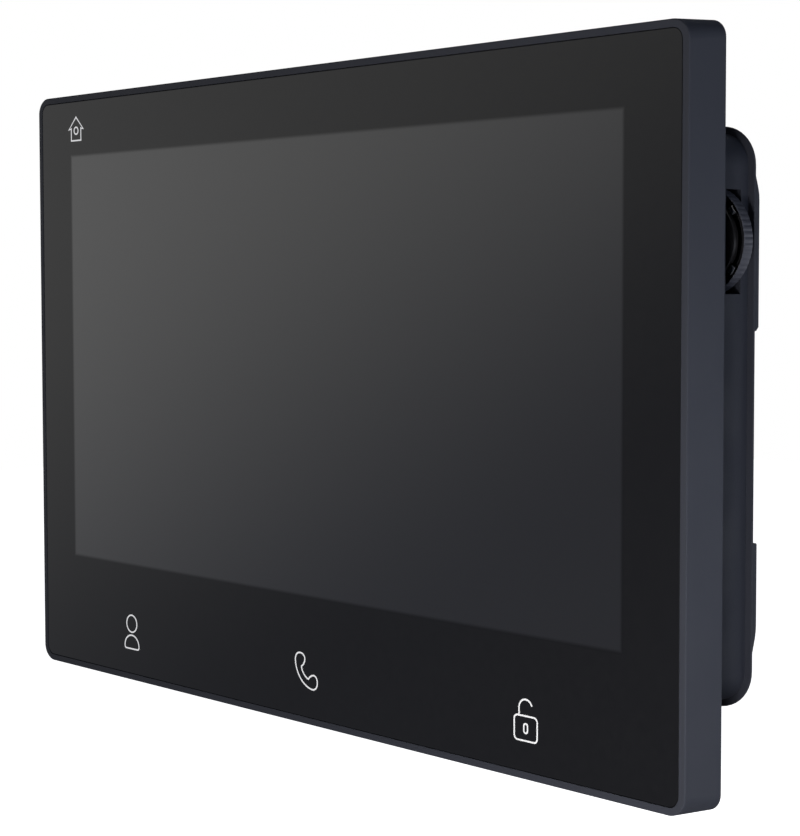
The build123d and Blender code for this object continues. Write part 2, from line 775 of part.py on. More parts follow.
with BuildPart() as dial_shaft:
    with BuildSketch(level(dial_rear + dial_screw_seat)):
        with Locations((dial_x, dial_z)):
            Circle(shaft_radius)
    extrude(amount=board_front - 0.2 - dial_rear - dial_screw_seat)
    # flat that drives the dial
    with BuildSketch(level(dial_rear + dial_screw_seat)):
        with Locations((dial_x - 1.0, dial_z)):
            Rectangle(1, 4, align=(Align.MAX, Align.CENTER))
    extrude(amount=dial_front - dial_rear - dial_screw_seat, mode=Mode.SUBTRACT)
    with BuildSketch(level(dial_rear + dial_screw_seat)):
        with Locations((dial_x, dial_z)):
            Circle(0.6)
    extrude(amount=3, mode=Mode.SUBTRACT)
dial_shaft.part.label = "dial_shaft"
export_step(dial_shaft.part, "parts/dial_shaft.step")

with BuildPart() as volume_dial:
    with BuildSketch(level(dial_rear)):
        with Locations((dial_x, dial_z)):
            Circle(dial_radius)
    extrude(amount=dial_thickness)
    chamfer(volume_dial.edges(), length=dial_edge)
    # knurled rim
    with BuildSketch(level(dial_rear)):
        with Locations((dial_x, dial_z)):
            with PolarLocations(dial_radius, knurls):
                RegularPolygon(knurl_depth, 4)
    extrude(amount=dial_thickness, mode=Mode.SUBTRACT)
    # ring recess round a domed hub, on the side away from the wall
    with BuildSketch(level(dial_front - dial_recess)):
        with Locations((dial_x, dial_z)):
            Circle(dial_recess_radius)
            Circle(dial_hub_radius, mode=Mode.SUBTRACT)
    extrude(amount=dial_recess, mode=Mode.SUBTRACT)
    hub_edges = volume_dial.edges().filter_by(GeomType.CIRCLE).group_by(Axis.Y)[0]
    chamfer(hub_edges.sort_by(SortBy.RADIUS)[0], length=0.4)
    # bore with a flat, and the seat of the screw on the wall side
    with BuildSketch(level(dial_rear + dial_screw_seat)):
        with Locations((dial_x, dial_z)):
            Circle(shaft_radius + 0.02)
        with Locations((dial_x - 1.02, dial_z)):
            Rectangle(1, 4, align=(Align.MAX, Align.CENTER), mode=Mode.SUBTRACT)
    extrude(amount=dial_thickness, mode=Mode.SUBTRACT)
    with BuildSketch(level(dial_rear)):
        with Locations((dial_x, dial_z)):
            Circle(0.9)
    extrude(amount=1.2, mode=Mode.SUBTRACT)
    with BuildSketch(level(dial_rear)):
        with Locations((dial_x, dial_z)):
            Circle(1.8)
    extrude(amount=0.8, mode=Mode.SUBTRACT)
volume_dial.part.label = "volume_dial"
export_step(volume_dial.part, "parts/volume_dial.step")

with BuildPart() as dial_screw:
    with BuildSketch(level(dial_rear + 0.1)):
        with Locations((dial_x, dial_z)):
            Circle(1.6)
    extrude(amount=0.7)
    with BuildSketch(level(dial_rear + 0.8)):
        with Locations((dial_x, dial_z)):
            Circle(0.6)
    extrude(amount=3)
    with BuildSketch(level(dial_rear + 0.1)):
        with Locations((dial_x, dial_z)):
            Rectangle(1.6, 0.3)
            Rectangle(0.3, 1.6)
    extrude(amount=0.4, mode=Mode.SUBTRACT)
dial_screw.part.label = "dial_screw"
export_step(dial_screw.part, "parts/dial_screw.step")

# Sprung wiper under the dial: a ring on the hub's foot with two raised contact tips
with BuildPart() as dial_wiper:
    with BuildSketch(level(dial_front - dial_recess)):
        with Locations((dial_x, dial_z)):
            Circle(wiper_radius)
            Circle(dial_hub_radius, mode=Mode.SUBTRACT)
            for turn in (-wiper_turn, wiper_turn):
                with PolarLocations(tip_radius, 1, start_angle=turn):
                    Rectangle(1.2, 1.6)
    extrude(amount=wiper_sheet)
    with BuildSketch(level(dial_front - dial_recess)):
        with Locations((dial_x, dial_z)):
            for turn in (-wiper_turn, wiper_turn):
                with PolarLocations(tip_radius, 1, start_angle=turn):
                    Rectangle(0.8, 1.4)
    extrude(amount=dial_recess)
dial_wiper.part.label = "dial_wiper"
export_step(dial_wiper.part, "parts/dial_wiper.step")

# ---------------------------------------------------------------- screws
# name, level of the head's underside, direction of the shank (1 towards the room), length, places
screw_groups = (
    ("cover_screws", cup_floor, 1, 4.2, GridLocations(cover_screw_x, 2 * cover_screw_z, 3, 2)),
    ("board_screws", board_front, -1, 5.0, Locations(*standoffs)),
)
for name, seat, way, length, spots in screw_groups:
    with BuildPart() as screws:
        with BuildSketch(level(seat)):
            with spots:
                Circle(head_radius)
        extrude(amount=-way * head_height)
        rim = screws.edges().group_by(Axis.Y)[-1 if way == 1 else 0]
        fillet(rim, radius=0.35)
        with BuildSketch(level(seat)):
            with spots:
                Circle(pilot_radius)
        extrude(amount=way * length)
        with BuildSketch(level(seat - way * head_height)):
            with spots:
                Rectangle(2.2, 0.4)
                Rectangle(0.4, 2.2)
        extrude(amount=way * 0.7, mode=Mode.SUBTRACT)
    screws.part.label = name
    export_step(screws.part, "parts/" + name + ".step")
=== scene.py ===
import bpy, bmesh, json, math
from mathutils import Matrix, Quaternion, Vector


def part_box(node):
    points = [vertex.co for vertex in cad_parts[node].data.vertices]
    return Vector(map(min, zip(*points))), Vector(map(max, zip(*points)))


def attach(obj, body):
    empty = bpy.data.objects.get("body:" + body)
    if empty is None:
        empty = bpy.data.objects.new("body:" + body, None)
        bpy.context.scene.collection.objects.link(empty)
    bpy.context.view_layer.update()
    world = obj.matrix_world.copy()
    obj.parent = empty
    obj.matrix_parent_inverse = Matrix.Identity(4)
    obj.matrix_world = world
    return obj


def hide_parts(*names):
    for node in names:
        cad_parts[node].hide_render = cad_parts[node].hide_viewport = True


# Looks of a wall-hung video intercom monitor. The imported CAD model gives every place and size:
# X right as seen from the room, Y into the wall, Z up, metres. The front faces -Y.

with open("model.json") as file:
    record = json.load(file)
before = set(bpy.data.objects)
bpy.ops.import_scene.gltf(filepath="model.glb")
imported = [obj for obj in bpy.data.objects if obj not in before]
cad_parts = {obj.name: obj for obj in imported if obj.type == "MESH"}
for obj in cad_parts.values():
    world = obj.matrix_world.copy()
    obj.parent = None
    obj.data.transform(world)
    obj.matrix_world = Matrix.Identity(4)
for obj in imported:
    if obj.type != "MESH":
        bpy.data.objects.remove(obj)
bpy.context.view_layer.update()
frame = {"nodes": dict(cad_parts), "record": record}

MM = 0.001
scene = bpy.context.scene
nodes = frame["nodes"]


# ------------------------------------------------------------------ node tree helpers
class Tree:
    """Short names for building a node tree: add a node, link it, and common patterns."""

    def __init__(self, tree):
        self.tree = tree
        self.nodes = tree.nodes
        self.links = tree.links

    def add(self, kind, inputs=None, **settings):
        node = self.nodes.new(kind)
        for key, value in settings.items():
            setattr(node, key, value)
        for key, value in (inputs or {}).items():
            self.put(node.inputs[key], value)
        return node

    def put(self, socket, value):
        """Links an output to a socket, or sets the socket's own value."""
        if isinstance(value, bpy.types.NodeSocket):
            self.links.new(value, socket)
        else:
            socket.default_value = value

    def math(self, operation, a, b=0.0, clamp=False):
        return self.add("ShaderNodeMath", {0: a, 1: b}, operation=operation, use_clamp=clamp).outputs[0]

    def place(self):
        """Object coordinates: metres in the part's own frame."""
        return self.add("ShaderNodeTexCoord").outputs["Object"]

    def stretched(self, scale):
        """Object coordinates scaled by a different factor on each axis."""
        return self.add("ShaderNodeMapping", {"Vector": self.place(), "Scale": scale}).outputs[0]

    def noise(self, size, detail=2.0, rough=0.5, vector=None):
        """Noise with features of a size in metres, 0 to 1."""
        return self.add(
            "ShaderNodeTexNoise",
            {"Vector": vector or self.place(), "Scale": 1 / size, "Detail": detail, "Roughness": rough},
        ).outputs["Fac"]

    def ramp(self, factor, low, high, a=0.0, b=1.0):
        """Maps factor from low..high to a..b, easing at both ends."""
        return self.add(
            "ShaderNodeMapRange",
            {"Value": factor, "From Min": low, "From Max": high, "To Min": a, "To Max": b},
            interpolation_type="SMOOTHSTEP",
        ).outputs[0]

    def mix(self, factor, a, b):
        """Colour a where the factor is 0, colour b where it is 1."""
        node = self.add("ShaderNodeMix", data_type="RGBA")
        self.put(node.inputs[0], factor)
        self.put(node.inputs[6], a)
        self.put(node.inputs[7], b)
        return node.outputs[2]

    def bump(self, height, distance, normal=None):
        """Relief: a height of 0 to 1 stands for 0 to a distance in metres."""
        node = self.add("ShaderNodeBump", {"Height": height, "Distance": distance})
        if normal is not None:
            self.links.new(normal, node.inputs["Normal"])
        return node.outputs[0]

    def bevel(self, radius):
        """Normals that round the edges of a mesh by a radius."""
        return self.add("ShaderNodeBevel", {"Radius": radius}, samples=4).outputs[0]

    def stripes(self, size):
        """Bands across X, 0 to 1, that repeat about every third of a size in metres."""
        return self.add(
            "ShaderNodeTexWave", {"Vector": self.place(), "Scale": 1 / size},
            wave_type="BANDS", bands_direction="X",
        ).outputs["Fac"]

    def along(self, direction, axis):
        """How far a direction points along an axis."""
        return self.add(
            "ShaderNodeVectorMath", {0: direction, 1: axis}, operation="DOT_PRODUCT"
        ).outputs["Value"]


def rgb(r, g, b):
    return (r, g, b, 1.0)


def shade(colour, factor):
    return rgb(*(min(1.0, c * factor) for c in colour[:3]))


def material(name, colour, roughness, metallic=0.0, ior=1.5, **sockets):
    """A Principled material and its tree. Uniform values go on the shader's own sockets."""
    made = bpy.data.materials.new(name)
    made.use_nodes = True
    tree = Tree(made.node_tree)
    shader = tree.nodes["Principled BSDF"]
    shader.inputs["Base Color"].default_value = colour
    shader.inputs["Roughness"].default_value = roughness
    shader.inputs["Metallic"].default_value = metallic
    shader.inputs["IOR"].default_value = ior
    for key, value in sockets.items():
        shader.inputs[key].default_value = value
    return made, tree, shader


def mottle(tree, shader, colour, spread, size):
    """Base colour that wanders by a share of itself over patches of a size."""
    patches = tree.noise(size, detail=3.0)
    tree.put(
        shader.inputs["Base Color"],
        tree.mix(patches, shade(colour, 1 - spread), shade(colour, 1 + spread)),
    )


def grainy(name, colour, roughness, grain, depth, spread=0.08, edge=0.15, drift=0.06, **more):
    """Moulded or cast surface: fine grain in relief, patches of gloss and softened edges."""
    made, tree, shader = material(name, colour, roughness, **more)
    mottle(tree, shader, colour, spread, 18 * MM)
    fine = tree.noise(grain, detail=2.0, rough=0.6)
    coarse = tree.noise(9 * MM, detail=3.0)
    tree.put(
        shader.inputs["Roughness"],
        tree.math(
            "ADD",
            tree.ramp(coarse, 0.3, 0.7, roughness - drift, roughness + drift),
            tree.ramp(fine, 0.3, 0.7, -0.03, 0.03),
            clamp=True,
        ),
    )
    tree.put(shader.inputs["Normal"], tree.bump(fine, depth, normal=tree.bevel(edge * MM)))
    return made


def metal(name, colour, roughness, stretch, depth, edge=0.1, spread=0.06):
    """Rolled, drawn or turned metal: fine lines along one direction, and small stains."""
    made, tree, shader = material(name, colour, roughness, metallic=1.0)
    mottle(tree, shader, colour, spread, 12 * MM)
    lines = tree.noise(1.0, detail=3.0, rough=0.7, vector=tree.stretched(stretch))
    stains = tree.noise(4 * MM, detail=4.0)
    tree.put(
        shader.inputs["Roughness"],
        tree.math(
            "ADD",
            tree.ramp(lines, 0.3, 0.7, roughness - 0.07, roughness + 0.07),
            tree.ramp(stains, 0.4, 0.7, 0.0, 0.08),
            clamp=True,
        ),
    )
    tree.put(shader.inputs["Normal"], tree.bump(lines, depth, normal=tree.bevel(edge * MM)))
    return made


# ------------------------------------------------------------------ materials
# Lines on metal: noise cells per metre on each axis
ALONG_X = (60.0, 9000.0, 9000.0)
ALONG_Y = (9000.0, 60.0, 9000.0)
ROLLED = (250.0, 4000.0, 4000.0)
# Scale of the stripes of the display's colour filters
CELL_STRIPE = 0.4 * MM
# The wiper's tips stand in front of the first level, its ring lies behind the second, where it is painted
# near-black as painted shade
TIP_LEVEL = -6.60 * MM
RING_LEVEL = -6.50 * MM

FRAME_COLOUR = rgb(0.0179, 0.0194, 0.0260)
COVER_COLOUR = rgb(0.0116, 0.0126, 0.0176)
DIAL_COLOUR = rgb(0.021, 0.022, 0.029)

frame_plastic = grainy("frame_plastic", FRAME_COLOUR, 0.46, 0.16 * MM, 0.010 * MM, edge=0.22, ior=1.26)
cover_plastic = grainy("cover_plastic", COVER_COLOUR, 0.54, 0.30 * MM, 0.022 * MM, edge=0.18, ior=1.38)
dial_plastic = grainy("dial_plastic", DIAL_COLOUR, 0.42, 0.12 * MM, 0.006 * MM, edge=0.08)
dial_gloss = grainy(
    "dial_gloss", rgb(0.005, 0.005, 0.006), 0.2, 0.20 * MM, 0.002 * MM, edge=0.08, drift=0.03
)
tape_foam = grainy("tape_foam", rgb(0.02, 0.02, 0.02), 0.9, 0.10 * MM, 0.030 * MM, spread=0.2)
key_foam = grainy("key_foam", rgb(0.06, 0.06, 0.065), 0.92, 0.14 * MM, 0.040 * MM, spread=0.25)
boot_rubber = grainy("boot_rubber", rgb(0.02, 0.02, 0.021), 0.7, 0.10 * MM, 0.008 * MM)
chip_epoxy = grainy("chip_epoxy", rgb(0.018, 0.018, 0.019), 0.62, 0.06 * MM, 0.010 * MM)
ferrite_grey = grainy("ferrite_grey", rgb(0.06, 0.06, 0.062), 0.55, 0.08 * MM, 0.012 * MM)
socket_nylon = grainy("socket_nylon", rgb(0.74, 0.71, 0.62), 0.42, 0.15 * MM, 0.006 * MM, spread=0.04)
light_acrylic = grainy("light_acrylic", rgb(0.82, 0.84, 0.84), 0.3, 0.4 * MM, 0.004 * MM, spread=0.03)
lens_epoxy = grainy("lens_epoxy", rgb(0.85, 0.82, 0.6), 0.2, 0.3 * MM, 0.002 * MM, spread=0.05)
wire_silicone = grainy("wire_silicone", rgb(0.42, 0.03, 0.025), 0.5, 0.12 * MM, 0.006 * MM)
basket_paint = grainy("basket_paint", rgb(0.03, 0.03, 0.031), 0.5, 0.12 * MM, 0.008 * MM)

bracket_steel = metal("bracket_steel", rgb(0.62, 0.63, 0.63), 0.34, ROLLED, 0.004 * MM, edge=0.15)
bezel_steel = metal("bezel_steel", rgb(0.58, 0.58, 0.57), 0.30, ALONG_X, 0.003 * MM)
can_aluminium = metal("can_aluminium", rgb(0.70, 0.70, 0.71), 0.28, ALONG_Y, 0.003 * MM)
magnet_nickel = metal("magnet_nickel", rgb(0.55, 0.54, 0.52), 0.26, ALONG_Y, 0.003 * MM)
shaft_steel = metal("shaft_steel", rgb(0.56, 0.56, 0.57), 0.24, ALONG_Y, 0.003 * MM, edge=0.05)
screw_zinc = metal("screw_zinc", rgb(0.09, 0.09, 0.10), 0.36, ALONG_Y, 0.004 * MM, edge=0.08)
pin_tin = metal("pin_tin", rgb(0.72, 0.71, 0.67), 0.22, ALONG_Y, 0.002 * MM, edge=0.04)


def nickel_and_painted_shade():
    """Wiper spring: bright nickel on its raised tips; the ring below them is painted near-black as
    painted shade of the dial's recess.
    """
    made, tree, shader = material("nickel_and_painted_shade", rgb(0.86, 0.85, 0.82), 0.2, metallic=1.0)
    depth = tree.add("ShaderNodeSeparateXYZ", {"Vector": tree.place()}).outputs[1]
    # painted shade: 0 on the tips, 1 on the ring behind them, which is darkened to stand in for the shade
    # in the recess
    painted_shade_ring = tree.ramp(depth, TIP_LEVEL, RING_LEVEL)
    stains = tree.noise(0.4 * MM, detail=3.0)
    nickel = tree.mix(stains, rgb(0.80, 0.79, 0.76), rgb(0.90, 0.89, 0.87))
    tree.put(shader.inputs["Base Color"], tree.mix(painted_shade_ring, nickel, rgb(0.006, 0.006, 0.007)))
    tree.put(shader.inputs["Roughness"], tree.ramp(stains, 0.3, 0.7, 0.06, 0.14))
    tree.put(shader.inputs["Normal"], tree.bump(stains, 0.004 * MM, normal=tree.bevel(0.35 * MM)))
    return made


def circuit_mask():
    """Solder mask over copper: tracks at right angles, with plated holes between them."""
    made, tree, shader = material("circuit_mask", rgb(0.012, 0.10, 0.035), 0.34)
    upright = tree.add("ShaderNodeMapping", {"Vector": tree.place(), "Rotation": (math.pi / 2, 0, 0)})
    bricks = {
        "Vector": upright.outputs[0],
        "Scale": 420.0,
        "Mortar Size": 0.045,
        "Mortar Smooth": 0.2,
        "Color1": rgb(0, 0, 0),
        "Color2": rgb(0, 0, 0),
        "Mortar": rgb(1, 1, 1),
    }
    tracks = tree.add(
        "ShaderNodeTexBrick", bricks, offset=0.37, squash=1.6, squash_frequency=3
    ).outputs["Color"]
    cells = tree.add(
        "ShaderNodeTexVoronoi", {"Vector": tree.place(), "Scale": 330.0, "Randomness": 0.85}
    ).outputs["Distance"]
    vias = tree.ramp(cells, 0.13, 0.17, 1.0, 0.0)
    mask = tree.mix(tree.noise(7 * MM, detail=3.0), rgb(0.008, 0.085, 0.028), rgb(0.014, 0.12, 0.042))
    over_copper = tree.mix(tracks, mask, rgb(0.035, 0.21, 0.075))
    tree.put(shader.inputs["Base Color"], tree.mix(vias, over_copper, rgb(0.55, 0.50, 0.38)))
    tree.put(shader.inputs["Metallic"], vias)
    tree.put(shader.inputs["Normal"], tree.bump(tracks, 0.03 * MM, normal=tree.bevel(0.08 * MM)))
    return made


def flex_polyimide():
    """Amber film with copper lines running down the cable."""
    made, tree, shader = material("flex_polyimide", rgb(0.5, 0.22, 0.03), 0.28)
    lines = tree.stripes(6.0 * MM)
    film = tree.mix(tree.noise(5 * MM), rgb(0.36, 0.13, 0.015), rgb(0.46, 0.18, 0.02))
    copper = tree.ramp(lines, 0.45, 0.55)
    tree.put(shader.inputs["Base Color"], tree.mix(copper, film, rgb(0.62, 0.30, 0.10)))
    tree.put(shader.inputs["Normal"], tree.bump(lines, 0.01 * MM))
    return made


def pressed_pulp():
    """Speaker cone: pressed paper fibres."""
    made, tree, shader = material("pressed_pulp", rgb(0.035, 0.035, 0.036), 0.85)
    shader.inputs["Sheen Weight"].default_value = 0.3
    fibres = tree.noise(0.3 * MM, detail=4.0, rough=0.75)
    tree.put(shader.inputs["Base Color"], tree.mix(fibres, rgb(0.02, 0.02, 0.021), rgb(0.07, 0.07, 0.07)))
    tree.put(shader.inputs["Normal"], tree.bump(fibres, 0.05 * MM))
    return made


def cell_glass():
    """Face of the display cell: fine vertical stripes of its colour filters under a polariser."""
    made, tree, shader = material("cell_glass", rgb(0.02, 0.02, 0.024), 0.12, ior=1.6)
    stripes = tree.stripes(CELL_STRIPE)
    tree.put(
        shader.inputs["Base Color"],
        tree.mix(stripes, rgb(0.014, 0.014, 0.017), rgb(0.026, 0.026, 0.031)),
    )
    tree.put(shader.inputs["Roughness"], tree.ramp(tree.noise(6 * MM), 0.3, 0.7, 0.10, 0.16))
    return made


SLOT_MATERIALS = {
    "frame_plastic": frame_plastic,
    "cover_plastic": cover_plastic,
    "dial_plastic": dial_plastic,
    "bracket_steel": bracket_steel,
    "tape": tape_foam,
    "display_metal": bezel_steel,
    "cell_glass": cell_glass(),
    "light_guide": light_acrylic,
    "flex_film": flex_polyimide(),
    "circuit_board": circuit_mask(),
    "foam": key_foam,
    "led_lens": lens_epoxy,
    "soft_rubber": boot_rubber,
    "can_metal": can_aluminium,
    "chip_black": chip_epoxy,
    "ferrite": ferrite_grey,
    "socket_plastic": socket_nylon,
    "pin_tin": pin_tin,
    "speaker_metal": basket_paint,
    "cone_paper": pressed_pulp(),
    "magnet_steel": magnet_nickel,
    "wire_sheath": wire_silicone,
    "shaft_steel": shaft_steel,
    "screw_steel": screw_zinc,
    "contact_metal": nickel_and_painted_shade(),
}

# Every CAD node that stays gets the material of its slot
for part in frame["record"]["subparts"]:
    chosen = SLOT_MATERIALS.get(part["material_slot"])
    if chosen is not None:
        mesh = nodes[part["node"]].data
        mesh.materials.clear()
        mesh.materials.append(chosen)


# ------------------------------------------------------------------ front glass
# The window's middle lies a little left of the glass's and above it
glass_low, glass_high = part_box("front_glass")
GLASS_WIDTH = glass_high.x - glass_low.x
GLASS_HEIGHT = glass_high.z - glass_low.z
GLASS_CORNER = 2.05 * MM
GLASS_EDGE = 0.18 * MM
GLASS_EDGE_STEPS = 3
WINDOW_WIDTH = 155.3 * MM
WINDOW_HEIGHT = 87.3 * MM
WINDOW_CORNER = 0.5 * MM
WINDOW_X = -0.28 * MM
WINDOW_Z = 5.78 * MM
# Width of the painted shade along the window's edge, where the display's reflection fades out
WINDOW_EDGE_SHADE = 0.9 * MM
CORNER_STEPS = 12


def rounded_outline(width, height, radius, x=0.0, z=0.0, steps=CORNER_STEPS):
    """Points (x, z) round a rectangle with round corners, anticlockwise from the right side."""
    points = []
    for quarter in range(4):
        turn = quarter * math.pi / 2
        side_x = 1 if quarter in (0, 3) else -1
        side_z = 1 if quarter in (0, 1) else -1
        centre_x = x + side_x * (width / 2 - radius)
        centre_z = z + side_z * (height / 2 - radius)
        for step in range(steps + 1):
            angle = turn + step / steps * math.pi / 2
            points.append((centre_x + radius * math.cos(angle), centre_z + radius * math.sin(angle)))
    return points


def new_object(name, mesh_builder, materials, smooth=False):
    """An object whose mesh is made by mesh_builder(bm)."""
    bm = bmesh.new()
    mesh_builder(bm)
    bmesh.ops.recalc_face_normals(bm, faces=bm.faces)
    mesh = bpy.data.meshes.new(name)
    bm.to_mesh(mesh)
    bm.free()
    made = bpy.data.objects.new(name, mesh)
    scene.collection.objects.link(made)
    for item in materials:
        mesh.materials.append(item)
    if smooth:
        for face in mesh.polygons:
            face.use_smooth = True
    return made


def ring_of(bm, points, y):
    return [bm.verts.new((x, y, z)) for x, z in points]


def skin_between(bm, a, b, index=0):
    """Quads between two closed rings of the same count."""
    for i in range(len(a)):
        j = (i + 1) % len(a)
        bm.faces.new((a[i], a[j], b[j], b[i])).material_index = index


def glass_border_material():
    """Glass over black print: near-black, mirror-smooth, with faint wipe marks."""
    made, tree, shader = material("glass_border", rgb(0.0022, 0.0022, 0.0024), 0.03, ior=1.5)
    wipes = tree.noise(1.0, detail=3.0, vector=tree.stretched((60.0, 60.0, 240.0)))
    tree.put(shader.inputs["Roughness"], tree.ramp(wipes, 0.35, 0.75, 0.025, 0.07))
    specks = tree.noise(1.5 * MM, detail=2.0)
    tree.put(
        shader.inputs["Base Color"],
        tree.mix(specks, rgb(0.0011, 0.0011, 0.0013), rgb(0.0023, 0.0023, 0.0026)),
    )
    return made


def window_material():
    """Display seen through the glass: its own reflection over the glass's, faded out along the edge as
    painted shade under the print.
    """
    made, tree, shader = material("display_window", rgb(0.001, 0.001, 0.0011), 0.04, ior=1.5)
    shader.inputs["Coat IOR"].default_value = 1.6
    shader.inputs["Coat Roughness"].default_value = 0.06
    split = tree.add("ShaderNodeSeparateXYZ", {"Vector": tree.place()})
    gaps = []
    for axis, middle, size in ((0, WINDOW_X, WINDOW_WIDTH), (2, WINDOW_Z, WINDOW_HEIGHT)):
        offset = tree.math("ABSOLUTE", tree.math("SUBTRACT", split.outputs[axis], middle))
        gaps.append(tree.math("SUBTRACT", size / 2, offset))
    inside = tree.math("MINIMUM", *gaps)
    # painted shade: the display's coat fades out within a short width of the window's edge, standing in
    # for the shadow of the print
    tree.put(shader.inputs["Coat Weight"], tree.ramp(inside, 0.0, WINDOW_EDGE_SHADE))
    film = tree.noise(14 * MM, detail=3.0)
    tree.put(shader.inputs["Roughness"], tree.ramp(film, 0.3, 0.7, 0.03, 0.06))
    stripes = tree.stripes(CELL_STRIPE)
    tree.put(
        shader.inputs["Base Color"],
        tree.mix(stripes, rgb(0.0006, 0.0006, 0.0007), rgb(0.0014, 0.0014, 0.0016)),
    )
    return made


def build_glass(bm):
    front = glass_low.y
    back = glass_high.y
    outer = (GLASS_WIDTH, GLASS_HEIGHT, GLASS_CORNER)
    inset = 2 * GLASS_EDGE
    rings = [ring_of(bm, rounded_outline(*outer), back)]
    rings.append(ring_of(bm, rounded_outline(*outer), front + GLASS_EDGE))
    # the ground edge is a small quarter round
    for step in range(1, GLASS_EDGE_STEPS + 1):
        angle = step / GLASS_EDGE_STEPS * math.pi / 2
        shrink = inset * (1 - math.cos(angle))
        rings.append(
            ring_of(
                bm,
                rounded_outline(outer[0] - shrink, outer[1] - shrink, outer[2] - shrink / 2),
                front + GLASS_EDGE * (1 - math.sin(angle)),
            )
        )
    for a, b in zip(rings, rings[1:]):
        skin_between(bm, a, b)
    window = ring_of(
        bm, rounded_outline(WINDOW_WIDTH, WINDOW_HEIGHT, WINDOW_CORNER, WINDOW_X, WINDOW_Z), front
    )
    skin_between(bm, rings[-1], window)
    bm.faces.new(window).material_index = 1
    bm.faces.new(list(reversed(rings[0])))


front_lens = new_object("front_lens", build_glass, [glass_border_material(), window_material()])
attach(front_lens, "monitor")
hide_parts("front_glass")


# ------------------------------------------------------------------ printed icons
# Outlines below are in millimetres, X to the right and Z up from the middle of the front
PRINT_Y = glass_low.y - 0.012 * MM
PRINT_THICK = 0.018 * MM
STROKE = 0.30 * MM
SHARPEST_MITRE = 0.5
SAME_POINT = 1e-4


def icon_print():
    """Pale translucent ink on the glass, a little uneven in cover and lit from behind."""
    made, tree, shader = material("icon_print", rgb(0.22, 0.22, 0.23), 0.35)
    cover = tree.noise(0.25 * MM, detail=2.0)
    tree.put(shader.inputs["Base Color"], tree.mix(cover, rgb(0.19, 0.19, 0.20), rgb(0.25, 0.25, 0.26)))
    shader.inputs["Emission Color"].default_value = rgb(0.97, 0.98, 1.0)
    shader.inputs["Emission Strength"].default_value = 0.52
    tree.put(shader.inputs["Normal"], tree.bump(cover, 0.004 * MM))
    return made


def arc(x, z, radius, start, end, steps=24, radius_z=None):
    """Points on an arc, angles in degrees, anticlockwise from +X."""
    tall = radius if radius_z is None else radius_z
    points = []
    for step in range(steps + 1):
        angle = math.radians(start + (end - start) * step / steps)
        points.append((x + radius * math.cos(angle), z + tall * math.sin(angle)))
    return points


def bezier(p0, p1, p2, p3, steps=14):
    """Points on a cubic curve from p0 to p3."""
    points = []
    for step in range(steps + 1):
        t = step / steps
        weights = ((1 - t) ** 3, 3 * t * (1 - t) ** 2, 3 * t * t * (1 - t), t**3)
        points.append(tuple(sum(w * p[i] for w, p in zip(weights, (p0, p1, p2, p3))) for i in (0, 1)))
    return points


def without_repeats(points, closed):
    """The points without any that repeats the one before it."""
    kept = [points[0]]
    for point in points[1:]:
        if math.dist(point, kept[-1]) > SAME_POINT:
            kept.append(point)
    if closed and math.dist(kept[0], kept[-1]) < SAME_POINT:
        kept.pop()
    return kept


def add_stroke(bm, points, closed, width=STROKE):
    """A raised ribbon of even width along points given in millimetres."""
    line = [Vector((x * MM, z * MM)) for x, z in without_repeats(points, closed)]
    count = len(line)
    sides = []
    for i, here in enumerate(line):
        before = line[i - 1] if closed or i else here
        after = line[(i + 1) % count] if closed or i < count - 1 else here
        into = (here - before).normalized() if here != before else (after - here).normalized()
        out = (after - here).normalized() if after != here else into
        tangent = (into + out).normalized()
        normal = Vector((-tangent.y, tangent.x))
        reach = width / 2 / max(SHARPEST_MITRE, normal.dot(Vector((-into.y, into.x))))
        sides.append((here + normal * reach, here - normal * reach))
    corners = []
    for left, right in sides:
        corners.append(
            [
                bm.verts.new((p.x, y, p.y))
                for p, y in (
                    (left, PRINT_Y + PRINT_THICK),
                    (left, PRINT_Y),
                    (right, PRINT_Y),
                    (right, PRINT_Y + PRINT_THICK),
                )
            ]
        )
    for i in range(count if closed else count - 1):
        a, b = corners[i], corners[(i + 1) % count]
        for k in range(4):
            m = (k + 1) % 4
            bm.faces.new((a[k], b[k], b[m], a[m]))
    if not closed:
        bm.faces.new(corners[0])
        bm.faces.new(list(reversed(corners[-1])))


def person_icon(bm):
    """Head and shoulders in outline."""
    x, head_z, head = -56.75, -50.05, 1.80
    add_stroke(bm, arc(x, head_z, head, 0, 360, 40), True)
    shoulder, foot, corner, waist, height = 2.50, -55.38, 0.50, 0.60, 2.28
    body = arc(x, foot + waist, shoulder, 0, 180, 30, radius_z=height)
    body += arc(x - shoulder + corner, foot + corner, corner, 180, 270, 8)
    body += arc(x + shoulder - corner, foot + corner, corner, 270, 360, 8)
    add_stroke(bm, body, True)


def handset_icon(bm):
    """Telephone handset in outline, drawn along its length and turned to lean left."""
    half = [
        bezier((0.0, -1.80), (1.25, -1.80), (2.45, -1.40), (3.45, -0.60)),
        bezier((3.45, -0.60), (4.20, 0.00), (4.20, 1.00), (3.50, 1.60)),
        bezier((3.50, 1.60), (2.80, 2.25), (1.90, 2.10), (1.60, 1.25)),
        bezier((1.60, 1.25), (1.42, 0.75), (1.38, 0.40), (1.50, 0.00)),
        bezier((1.50, 0.00), (0.95, -0.38), (0.45, -0.42), (0.0, -0.42)),
    ]
    right = [p for piece in half for p in piece]
    left = [(-u, v) for u, v in reversed(right)]
    middle_x, middle_z, lean = -0.72, -52.20, math.radians(-47)
    turned = []
    for u, v in right + left:
        turned.append(
            (
                middle_x + u * math.cos(lean) - v * math.sin(lean),
                middle_z + u * math.sin(lean) + v * math.cos(lean),
            )
        )
    add_stroke(bm, turned, True)


